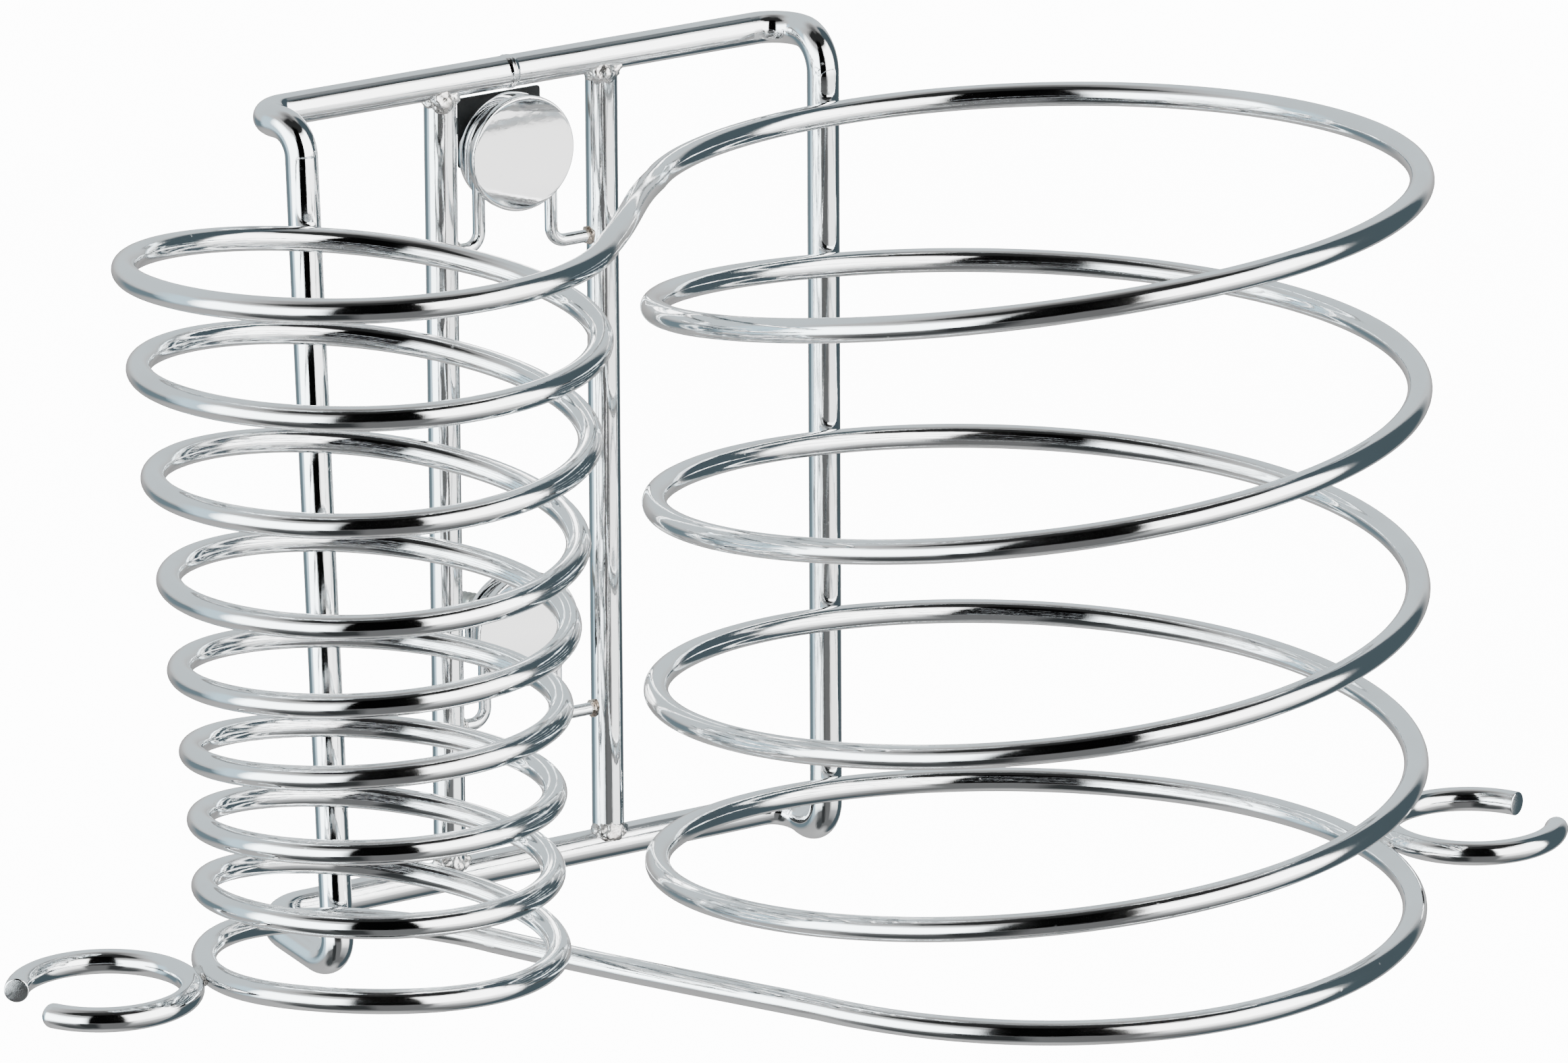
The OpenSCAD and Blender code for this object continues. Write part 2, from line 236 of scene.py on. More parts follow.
def mesh_object(name, bm, material, body, replaced=(), smooth_shading=True):
    bmesh.ops.recalc_face_normals(bm, faces=bm.faces)
    mesh = bpy.data.meshes.new(name)
    bm.to_mesh(mesh)
    bm.free()
    for polygon in mesh.polygons:
        polygon.use_smooth = smooth_shading
    mesh.materials.append(material)
    obj = bpy.data.objects.new(name, mesh)
    bpy.context.scene.collection.objects.link(obj)
    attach(obj, body)
    if replaced:
        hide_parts(*replaced)
    return obj


ROUND_STEPS = 5


def frames_along(points, closed):
    """Directions and two crosswise vectors at each point, turning as little as possible."""
    n = len(points)
    tangents = []
    for i in range(n):
        if closed:
            t = points[(i + 1) % n] - points[i - 1]
        else:
            t = points[min(i + 1, n - 1)] - points[max(i - 1, 0)]
        tangents.append(t.normalized())
    side = tangents[0].cross(Vector((0, 0, 1)))
    if side.length < 0.2:
        side = tangents[0].cross(Vector((0, 1, 0)))
    side.normalize()
    sides = [side]
    for a, b in zip(tangents, tangents[1:]):
        side = a.rotation_difference(b) @ sides[-1]
        side = (side - b * side.dot(b)).normalized()
        sides.append(side)
    if closed:
        carried = tangents[-1].rotation_difference(tangents[0]) @ sides[-1]
        twist = math.atan2(carried.cross(sides[0]).dot(tangents[0]), carried.dot(sides[0]))
        sides = [Matrix.Rotation(twist * i / n, 3, tangents[i]) @ s for i, s in enumerate(sides)]
    return [(t, s, s.cross(t)) for t, s in zip(tangents, sides)]


def wire(bm, points, d, sides=28, closed=False, end_rounds=(0.25, 0.25), seed=0.0):
    """Sweeps a round wire along points (mm) into bm, with attributes for its grain.
    end_rounds gives the radius of the rounded edge at each end of an open wire."""
    along_layer = bm.verts.layers.float.get("along") or bm.verts.layers.float.new("along")
    around_layer = bm.verts.layers.float_vector.get("around") or bm.verts.layers.float_vector.new("around")
    frames = frames_along(points, closed)
    rings = []
    length = 0.0
    r = d / 2

    def ring(centre, side, up, radius, at):
        made = []
        for k in range(sides):
            a = 2 * math.pi * k / sides
            direction = side * math.cos(a) + up * math.sin(a)
            # drawn wire is never quite round, so its reflections waver; it only ever gets thinner
            wobble = 0.012 * (noise.noise(Vector((at * 0.09 + seed, math.cos(a), math.sin(a)))) - 1)
            v = bm.verts.new((centre + direction * (radius + wobble)) * MM)
            v[along_layer] = at + seed * 100
            v[around_layer] = Vector((math.cos(a), math.sin(a), 0)) * r
            made.append(v)
        return made

    for i, p in enumerate(points):
        if i:
            length += (p - points[i - 1]).length
        t, side, up = frames[i]
        if not closed and i in (0, len(points) - 1):
            inward, end_round, order = ((t, end_rounds[0], range(ROUND_STEPS, -1, -1)) if i == 0
                                        else (-t, end_rounds[1], range(ROUND_STEPS + 1)))
            for k in order:
                a = k / ROUND_STEPS * math.pi / 2
                rings.append(ring(p + inward * end_round * (1 - math.sin(a)), side, up,
                                  r - end_round * (1 - math.cos(a)), length))
            continue
        behind = (p - points[0]).length if not closed else 10.0
        ahead = (p - points[-1]).length if not closed else 10.0
        if behind > end_rounds[0] + 0.05 and ahead > end_rounds[1] + 0.05:
            rings.append(ring(p, side, up, r, length))
    pairs = list(zip(rings, rings[1:]))
    if closed:
        pairs.append((rings[-1], rings[0]))
    for a, b in pairs:
        for k in range(sides):
            m = (k + 1) % sides
            bm.faces.new((a[k], a[m], b[m], b[k]))
    if not closed:
        for cap in (rings[0], rings[-1]):
            centre = bm.verts.new(sum((v.co for v in cap), Vector()) / sides)
            for k in range(sides):
                bm.faces.new((cap[k], cap[(k + 1) % sides], centre))


def lathe(bm, profile, centre, segments=96):
    """Turns a profile of (radius, depth from the wall) points, in mm, about the Y axis at centre."""
    rings = []
    for r, depth in profile:
        if r < 1e-6:
            rings.append([bm.verts.new(Vector((centre[0], -depth, centre[1])) * MM)])
            continue
        ring = []
        for k in range(segments):
            a = 2 * math.pi * k / segments
            ring.append(bm.verts.new(
                Vector((centre[0] + r * math.cos(a), -depth, centre[1] + r * math.sin(a))) * MM))
        rings.append(ring)
    for a, b in zip(rings, rings[1:]):
        for k in range(segments):
            m = (k + 1) % segments
            if len(a) == 1 and len(b) == 1:
                continue
            if len(a) == 1:
                bm.faces.new((a[0], b[k], b[m]))
            elif len(b) == 1:
                bm.faces.new((a[k], a[m], b[0]))
            else:
                bm.faces.new((a[k], a[m], b[m], b[k]))


def rounded(points, r, steps=5):
    """A profile with each inner corner replaced by a small arc of radius r."""
    out = [points[0]]
    for i in range(1, len(points) - 1):
        p, q, s = (Vector((*points[j], 0)) for j in (i - 1, i, i + 1))
        reach = min(r, (q - p).length * 0.45, (s - q).length * 0.45)
        a, b = q + (p - q).normalized() * reach, q + (s - q).normalized() * reach
        for k in range(steps + 1):
            u = k / steps
            v = a * (1 - u) ** 2 + q * 2 * u * (1 - u) + b * u ** 2
            out.append((v.x, v.y))
    out.append(points[-1])
    return out


def bead(bm, centre, size, seed, lump=0.18, turn=None):
    """A lump of weld: a sphere (mm) pushed about by noise."""
    made = bmesh.ops.create_icosphere(bm, subdivisions=4, radius=1.0)["verts"]
    for v in made:
        n = v.co.normalized()
        broad = noise.noise(n * 1.3 + Vector((seed, 0, 0)))
        fine = noise.noise(n * 3.7 + Vector((0, seed, 0)))
        k = 1 + lump * (broad + 0.4 * fine)
        p = Vector((n.x * size[0], n.y * size[1], n.z * size[2])) * k
        if turn:
            p = turn @ p
        v.co = (centre + p) * MM


# ---------------------------------------------------------------- materials

def new_material(name):
    material = bpy.data.materials.new(name)
    material.use_nodes = True
    nodes = material.node_tree.nodes
    return material, nodes, material.node_tree.links, nodes["Principled BSDF"]


def add(nodes, kind, **values):
    node = nodes.new(kind)
    for key, value in values.items():
        setattr(node, key, value)
    return node


def ramp(nodes, stops):
    node = nodes.new("ShaderNodeValToRGB")
    elements = node.color_ramp.elements
    while len(elements) < len(stops):
        elements.new(0.5)
    for element, (place, value) in zip(elements, stops):
        element.position = place
        element.color = (value, value, value, 1) if isinstance(value, (int, float)) else (*value, 1)
    return node


def chrome(name, colour, tarnish, roughness, grain=True):
    """Bright chrome plate over steel: a mirror with a faint orange peel, drawing lines along the
    wire, small dull spots and a slightly warmer, duller bloom."""
    material, nodes, links, shader = new_material(name)
    shader.inputs["Metallic"].default_value = 1.0
    shader.inputs["IOR"].default_value = 2.3
    place = add(nodes, "ShaderNodeTexCoord")

    bloom = add(nodes, "ShaderNodeTexNoise")
    bloom.inputs["Scale"].default_value = 60.0
    bloom.inputs["Detail"].default_value = 5.0
    links.new(place.outputs["Object"], bloom.inputs["Vector"])
    bloom_mask = ramp(nodes, [(0.42, 0.0), (0.72, 1.0)])
    links.new(bloom.outputs["Fac"], bloom_mask.inputs["Fac"])

    mix = add(nodes, "ShaderNodeMix", data_type="RGBA")
    mix.inputs["A"].default_value = (*colour, 1)
    mix.inputs["B"].default_value = (*tarnish, 1)
    links.new(bloom_mask.outputs["Color"], mix.inputs["Factor"])
    links.new(mix.outputs["Result"], shader.inputs["Base Color"])

    # dull specks, about half a millimetre across
    specks = add(nodes, "ShaderNodeTexVoronoi", feature="F1")
    specks.inputs["Scale"].default_value = 420.0
    links.new(place.outputs["Object"], specks.inputs["Vector"])
    speck_mask = ramp(nodes, [(0.06, 1.0), (0.16, 0.0)])
    links.new(specks.outputs["Distance"], speck_mask.inputs["Fac"])
    sparse = add(nodes, "ShaderNodeTexNoise")
    sparse.inputs["Scale"].default_value = 140.0
    links.new(place.outputs["Object"], sparse.inputs["Vector"])
    sparse_mask = ramp(nodes, [(0.56, 0.0), (0.64, 1.0)])
    links.new(sparse.outputs["Fac"], sparse_mask.inputs["Fac"])
    speck = add(nodes, "ShaderNodeMath", operation="MULTIPLY")
    links.new(speck_mask.outputs["Color"], speck.inputs[0])
    links.new(sparse_mask.outputs["Color"], speck.inputs[1])

    # roughness: polished, a little rougher in the bloom and on the specks
    rough = add(nodes, "ShaderNodeMapRange")
    rough.inputs["To Min"].default_value = roughness
    rough.inputs["To Max"].default_value = roughness + 0.07
    links.new(bloom_mask.outputs["Color"], rough.inputs["Value"])
    rough_specks = add(nodes, "ShaderNodeMath", operation="MULTIPLY_ADD")
    rough_specks.inputs[1].default_value = 0.22
    links.new(speck.outputs["Value"], rough_specks.inputs[0])
    links.new(rough.outputs["Result"], rough_specks.inputs[2])
    links.new(rough_specks.outputs["Value"], shader.inputs["Roughness"])

    # height: orange peel, then drawing lines that run along the wire
    peel = add(nodes, "ShaderNodeTexNoise")
    peel.inputs["Scale"].default_value = 900.0
    peel.inputs["Detail"].default_value = 3.0
    links.new(place.outputs["Object"], peel.inputs["Vector"])
    bump = add(nodes, "ShaderNodeBump")
    bump.inputs["Strength"].default_value = 0.10
    bump.inputs["Distance"].default_value = 0.00004
    links.new(peel.outputs["Fac"], bump.inputs["Height"])
    if grain:
        along = add(nodes, "ShaderNodeAttribute", attribute_name="along")
        around = add(nodes, "ShaderNodeAttribute", attribute_name="around")
        stretch = add(nodes, "ShaderNodeMath", operation="MULTIPLY")
        stretch.inputs[1].default_value = 0.035
        links.new(along.outputs["Fac"], stretch.inputs[0])
        split = add(nodes, "ShaderNodeSeparateXYZ")
        links.new(around.outputs["Vector"], split.inputs["Vector"])
        join = add(nodes, "ShaderNodeCombineXYZ")
        links.new(split.outputs["X"], join.inputs["X"])
        links.new(split.outputs["Y"], join.inputs["Y"])
        links.new(stretch.outputs["Value"], join.inputs["Z"])
        lines = add(nodes, "ShaderNodeTexNoise")
        lines.inputs["Scale"].default_value = 5.0
        lines.inputs["Detail"].default_value = 4.0
        links.new(join.outputs["Vector"], lines.inputs["Vector"])
        line_bump = add(nodes, "ShaderNodeBump")
        line_bump.inputs["Strength"].default_value = 0.18
        line_bump.inputs["Distance"].default_value = 0.00005
        links.new(lines.outputs["Fac"], line_bump.inputs["Height"])
        links.new(bump.outputs["Normal"], line_bump.inputs["Normal"])
        bump = line_bump
    links.new(bump.outputs["Normal"], shader.inputs["Normal"])
    return material


def weld_metal(name, dark, light):
    """Plated-over weld: duller than the wire and rippled, its colour between dark and light."""
    material, nodes, links, shader = new_material(name)
    shader.inputs["Metallic"].default_value = 1.0
    place = add(nodes, "ShaderNodeTexCoord")
    cloud = add(nodes, "ShaderNodeTexNoise")
    cloud.inputs["Scale"].default_value = 500.0
    cloud.inputs["Detail"].default_value = 6.0
    links.new(place.outputs["Object"], cloud.inputs["Vector"])
    tint = ramp(nodes, [(0.35, dark), (0.65, light)])
    links.new(cloud.outputs["Fac"], tint.inputs["Fac"])
    links.new(tint.outputs["Color"], shader.inputs["Base Color"])
    rough = add(nodes, "ShaderNodeMapRange")
    rough.inputs["To Min"].default_value = 0.34
    rough.inputs["To Max"].default_value = 0.16
    links.new(cloud.outputs["Fac"], rough.inputs["Value"])
    links.new(rough.outputs["Result"], shader.inputs["Roughness"])
    pits = add(nodes, "ShaderNodeTexNoise")
    pits.inputs["Scale"].default_value = 1600.0
    links.new(place.outputs["Object"], pits.inputs["Vector"])
    bump = add(nodes, "ShaderNodeBump")
    bump.inputs["Strength"].default_value = 0.5
    bump.inputs["Distance"].default_value = 0.0002
    links.new(pits.outputs["Fac"], bump.inputs["Height"])
    links.new(bump.outputs["Normal"], shader.inputs["Normal"])
    return material


def rough_plate(name, dark, light, metallic, roughness, scale, distance, shine=0.5):
    """Painted, plated or moulded surface: mottled colour, mottled gloss and fine bumps."""
    material, nodes, links, shader = new_material(name)
    shader.inputs["Metallic"].default_value = metallic
    shader.inputs["Specular IOR Level"].default_value = shine
    place = add(nodes, "ShaderNodeTexCoord")
    cloud = add(nodes, "ShaderNodeTexNoise")
    cloud.inputs["Scale"].default_value = scale
    cloud.inputs["Detail"].default_value = 6.0
    links.new(place.outputs["Object"], cloud.inputs["Vector"])
    tint = ramp(nodes, [(0.35, dark), (0.68, light)])
    links.new(cloud.outputs["Fac"], tint.inputs["Fac"])
    links.new(tint.outputs["Color"], shader.inputs["Base Color"])
    gloss = add(nodes, "ShaderNodeMapRange")
    gloss.inputs["To Min"].default_value = roughness[0]
    gloss.inputs["To Max"].default_value = roughness[1]
    links.new(cloud.outputs["Fac"], gloss.inputs["Value"])
    links.new(gloss.outputs["Result"], shader.inputs["Roughness"])
    grit = add(nodes, "ShaderNodeTexNoise")
    grit.inputs["Scale"].default_value = scale * 6
    grit.inputs["Detail"].default_value = 4.0
    links.new(place.outputs["Object"], grit.inputs["Vector"])
    bump = add(nodes, "ShaderNodeBump")
    bump.inputs["Strength"].default_value = 0.35
    bump.inputs["Distance"].default_value = distance
    links.new(grit.outputs["Fac"], bump.inputs["Height"])
    links.new(bump.outputs["Normal"], shader.inputs["Normal"])
    return material


WIRE_CHROME = chrome("chrome_wire", (0.86, 0.875, 0.885), (0.80, 0.80, 0.80), 0.045)
THIN_CHROME = chrome("thin_chrome_wire", (0.80, 0.825, 0.84), (0.74, 0.75, 0.76), 0.07)
STUD_CHROME = chrome("stud_chrome", (0.90, 0.90, 0.905), (0.87, 0.87, 0.875), 0.03, grain=False)
WELD = weld_metal("weld_bead_chrome", (0.50, 0.47, 0.45), (0.80, 0.79, 0.78))
BROWN_WELD = weld_metal("weld_bead_brown", (0.30, 0.23, 0.18), (0.70, 0.63, 0.56))
ZINC = rough_plate("zinc_screw", (0.48, 0.48, 0.45), (0.66, 0.66, 0.62), 1.0, (0.25, 0.42), 300.0, 0.00005)
# painted shade: the plate's near-black colour stands in for the shade round each stud's flange
PAINTED_SHADE_PLATE = rough_plate("dark_plate", (0.004, 0.0045, 0.005), (0.014, 0.015, 0.016), 0.0, (0.3, 0.5),
                         260.0, 0.00004, shine=0.12)


# ---------------------------------------------------------------- wall frame and uprights

def build_wall_frame():
    left_top, left_foot = left_leg_at(FRAME_TOP), left_leg_at(FRAME_BOTTOM - LEFT_FOOT_DROP)
    right_y = BAR_Y - RIGHT_LEG_REACH
    corners = [
        Vector((RIGHT_LEG_X, BAR_Y, FRAME_TOP)),
        Vector((RIGHT_LEG_X, right_y, FRAME_TOP)),
        Vector((RIGHT_LEG_X, right_y, FRAME_BOTTOM - RIGHT_FOOT_DROP)),
        Vector((RIGHT_LEG_X, BAR_Y, FRAME_BOTTOM)),
        Vector((left_foot.x - LEFT_OVERHANG, BAR_Y, FRAME_BOTTOM)),
        left_foot,
        left_top,
        Vector((left_top.x - LEFT_OVERHANG, BAR_Y, FRAME_TOP)),
    ]
    points = filled(bent_route(corners, FRAME_BENDS, closed=True), 1.5, closed=True)
    bm = bmesh.new()
    wire(bm, points, FRAME_WIRE, sides=36, closed=True)
    mesh_object("wall_frame_wire", bm, WIRE_CHROME, "holder", ["wall_frame"])


def build_butt_weld():
    """The frame's wire is closed by a butt weld in the middle of the top bar."""
    bm = bmesh.new()
    rings = []
    sides = 48
    profile = [(-1.1, -0.06), (-0.75, 0.0), (-0.5, 0.1), (-0.28, 0.22), (-0.1, 0.17), (0.0, 0.10),
               (0.12, 0.2), (0.3, 0.24), (0.5, 0.1), (0.8, 0.0), (1.1, -0.06)]
    for x, swell in profile:
        ring = []
        for k in range(sides):
            a = 2 * math.pi * k / sides
            n = Vector((0, math.cos(a), math.sin(a)))
            lumps = 0.5 + 1.1 * max(0.0, noise.noise(Vector((x * 0.8, n.y * 1.6, n.z * 1.6 + 5))) + 0.35)
            r = FRAME_WIRE / 2 + (swell * lumps if swell > 0 else swell)
            ring.append(bm.verts.new(Vector((
                x - 1.0, BAR_Y + min(r * n.y, FRAME_WIRE / 2),
                FRAME_TOP + min(r * n.z, FRAME_WIRE / 2))) * MM))
        rings.append(ring)
    for a, b in zip(rings, rings[1:]):
        for k in range(sides):
            m = (k + 1) % sides
            bm.faces.new((a[k], a[m], b[m], b[k]))
    bm.faces.new(rings[0])
    bm.faces.new(list(reversed(rings[-1])))
    mesh_object("top_bar_butt_weld", bm, WIRE_CHROME, "holder")


def build_upright(name, x):
    low = FRAME_BOTTOM + FRAME_WIRE / 2 - 0.4
    high = FRAME_TOP - FRAME_WIRE / 2 + 0.4
    points = filled([Vector((x, BAR_Y, low)), Vector((x, BAR_Y, high))], 1.5)
    bm = bmesh.new()
    wire(bm, points, FRAME_WIRE, sides=36, seed=x)
    mesh_object(name + "_wire", bm, WIRE_CHROME, "holder", [name])


def build_upright_welds():
    """Lumpy welds where the uprights butt against the bars."""
    for name, x in (("left", LEFT_UPRIGHT_X), ("right", RIGHT_UPRIGHT_X)):
        for end, z, up in (("top", FRAME_TOP - FRAME_WIRE / 2, 1),
                           ("foot", FRAME_BOTTOM + FRAME_WIRE / 2, -1)):
            bm = bmesh.new()
            seed = x * 0.37 + z * 0.11
            bead(bm, Vector((x - 0.5, BAR_Y - 1.7, z + 0.1 * up)), (2.0, 1.25, 1.9), seed, 0.3)
            bead(bm, Vector((x + 1.3, BAR_Y - 1.0, z + 0.5 * up)), (1.6, 1.3, 1.4), seed + 3, 0.3)
            bead(bm, Vector((x - 1.9, BAR_Y - 0.4, z - 0.1 * up)), (1.2, 1.4, 1.0), seed + 6, 0.25)
            bead(bm, Vector((x, BAR_Y + 0.2, z)), (2.6, 1.9, 1.1), seed + 9, 0.12)
            mesh_object(f"{name}_upright_{end}_weld", bm, WELD, "holder")


# ---------------------------------------------------------------- hangers

def build_hanger(name, stud_z):
    left_z, right_z = (stud_z - drop for drop in HANGER_FOOT_DROP)
    top_z = stud_z - HANGER_DROP + HANGER_R
    inner = FRAME_WIRE / 2 - 0.3
    corners = [
        Vector((LEFT_UPRIGHT_X + inner, HANGER_Y, left_z)),
        Vector((-HANGER_R, HANGER_Y, left_z)),
        Vector((-HANGER_R, HANGER_Y, top_z)),
        Vector((HANGER_R, HANGER_Y, top_z)),
        Vector((HANGER_R, HANGER_Y, right_z)),
        Vector((RIGHT_UPRIGHT_X - inner, HANGER_Y, right_z)),
    ]
    points = filled(bent_route(corners, [HANGER_FOOT_BEND, HANGER_R, HANGER_R, HANGER_FOOT_BEND]), 0.8)
    bm = bmesh.new()
    wire(bm, points, HANGER_WIRE, sides=24, end_rounds=(0.1, 0.1), seed=stud_z)
    mesh_object(name + "_wire", bm, THIN_CHROME, "holder", [name])
    for foot, x, z, side, metal in (("left", LEFT_UPRIGHT_X + FRAME_WIRE / 2, left_z, 1, WELD),
                                    ("right", RIGHT_UPRIGHT_X - FRAME_WIRE / 2, right_z, -1, BROWN_WELD)):
        bm = bmesh.new()
        bead(bm, Vector((x + 0.15 * side, HANGER_Y, z)), (0.75, 1.35, 1.45), stud_z + x, 0.2)
        mesh_object(f"{name}_{foot}_foot_weld", bm, metal, "holder")


# ---------------------------------------------------------------- spirals

TOOL_TOP_TURN = -200
TOOL_BOTTOM_TURN = 2880
CROSS_ANGLE = crossing(tool_centre(TOOL_TOP_TURN), tool_r(TOOL_TOP_TURN), DRYER_CENTRE, DRYER_R, 1)
BOTTOM_ANGLE = crossing(
    DRYER_CENTRE, DRYER_R, tool_centre(TOOL_BOTTOM_TURN), tool_r(TOOL_BOTTOM_TURN), -1) % TURN
TOOL_START = CROSS_ANGLE - TURN
DRYER_START = CROSS_ANGLE - HALF_TURN
DRYER_END = 4 * TURN + BOTTOM_ANGLE
TOOL_END = TOOL_BOTTOM_TURN + BOTTOM_ANGLE - HALF_TURN
SPIRAL_STEP = 3.0
COARSE_STEP = 10
TOP_LINK_STEPS = 26
BOTTOM_LINK_STEPS = 34


def build_spirals():
    """One closed wire: up through the tool spiral, across, down through the dryer spiral and back."""
    tool = spread(tool_point, TOOL_END, TOOL_START, SPIRAL_STEP)
    coil = spread(dryer_point, DRYER_START, DRYER_END, SPIRAL_STEP / 1.5)
    coarse_tool = spread(tool_point, TOOL_END, TOOL_START, COARSE_STEP)
    coarse_coil = spread(dryer_point, DRYER_START, DRYER_END, COARSE_STEP)
    top_link = link(coarse_tool, coarse_coil, TOP_LINK_STEPS)
    bottom_link = link(coarse_coil, coarse_tool, BOTTOM_LINK_STEPS)
    route = tool + top_link + coil + bottom_link
    bm = bmesh.new()
    wire(bm, route, SPIRAL_WIRE, sides=28, closed=True, seed=1.0)
    mesh_object("spiral_wire", bm, WIRE_CHROME, "holder", ["tool_spiral", "dryer_spiral"])


def leg_weld(bm, spiral_point, leg_point, seed):
    """A small flattened weld where a coil crosses in front of a leg."""
    out = (leg_point - spiral_point).normalized()
    middle = spiral_point + out * (SPIRAL_WIRE / 2)
    across = out.cross(Vector((0, 0, 1))).normalized()
    turn = Matrix((across, out, Vector((0, 0, 1)))).transposed()
    bead(bm, middle, (1.5, 0.75, 1.3), seed, 0.2, turn)


def build_leg_welds():
    bm = bmesh.new()
    deg = TOOL_CONTACT
    while deg < TOOL_END:
        p = tool_point(deg)
        leg_weld(bm, p, left_leg_at(p.z), deg)
        deg += TURN
    mesh_object("left_leg_welds", bm, WELD, "holder")
    bm = bmesh.new()
    leg = Vector((RIGHT_LEG_X, BAR_Y - RIGHT_LEG_REACH, 0))
    d = leg - DRYER_CENTRE
    deg = math.degrees(math.atan2(d.x, d.y))
    while deg < DRYER_END:
        p = dryer_point(deg)
        if p.z < FRAME_TOP - 6:
            leg_weld(bm, p, Vector((leg.x, leg.y, p.z)), deg)
        deg += TURN
    mesh_object("right_leg_welds", bm, WELD, "holder")


# ---------------------------------------------------------------- cable hooks

LEFT_HOOK = {"turn": 2803, "z": -67.0, "span": (-160.5, 147.5), "rounds": (1.3, 0.2)}
RIGHT_HOOK = {"turn": 1539, "z": -68.8, "span": (21.5, 327.5), "rounds": (0.2, 1.5)}


def hook_reach(rise):
    return HOOK_R + math.sqrt((SPIRAL_WIRE - WELD_BITE) ** 2 - rise ** 2)


def build_hook(name, centre, hook, weld_at):
    z, span = hook["z"], hook["span"]

    def point(deg):
        a = math.radians(deg)
        return Vector((centre.x + HOOK_R * math.cos(a), centre.y + HOOK_R * math.sin(a), z))

    bm = bmesh.new()
    wire(bm, spread(point, span[0], span[1], 4), SPIRAL_WIRE, end_rounds=hook["rounds"], seed=z)
    mesh_object(name + "_wire", bm, WIRE_CHROME, "holder", [name])
    bm = bmesh.new()
    nearest = Vector((centre.x, centre.y, z))
    toward = (Vector((weld_at.x, weld_at.y, z)) - nearest).normalized()
    hook_point = nearest + toward * HOOK_R
    middle = (hook_point + weld_at) / 2
    across = toward.cross(Vector((0, 0, 1))).normalized()
    turn = Matrix((across, toward, Vector((0, 0, 1)))).transposed()
    bead(bm, middle, (2.2, 1.1, 1.5), z, 0.2, turn)
    mesh_object(name + "_weld", bm, WELD, "holder")


def build_hooks():
    turn, z = LEFT_HOOK["turn"], LEFT_HOOK["z"]
    weld_at = tool_point(turn)
    centre = polar(tool_centre(turn), tool_r(turn) + hook_reach(z - weld_at.z), turn, 0)
    build_hook("left_cable_hook", centre, LEFT_HOOK, weld_at)
    turn, z = RIGHT_HOOK["turn"], RIGHT_HOOK["z"]
    weld_at = dryer_point(turn)
    centre = polar(DRYER_CENTRE, DRYER_R + hook_reach(z - weld_at.z), turn, 0)
    build_hook("right_cable_hook", centre, RIGHT_HOOK, weld_at)


# ---------------------------------------------------------------- wall studs

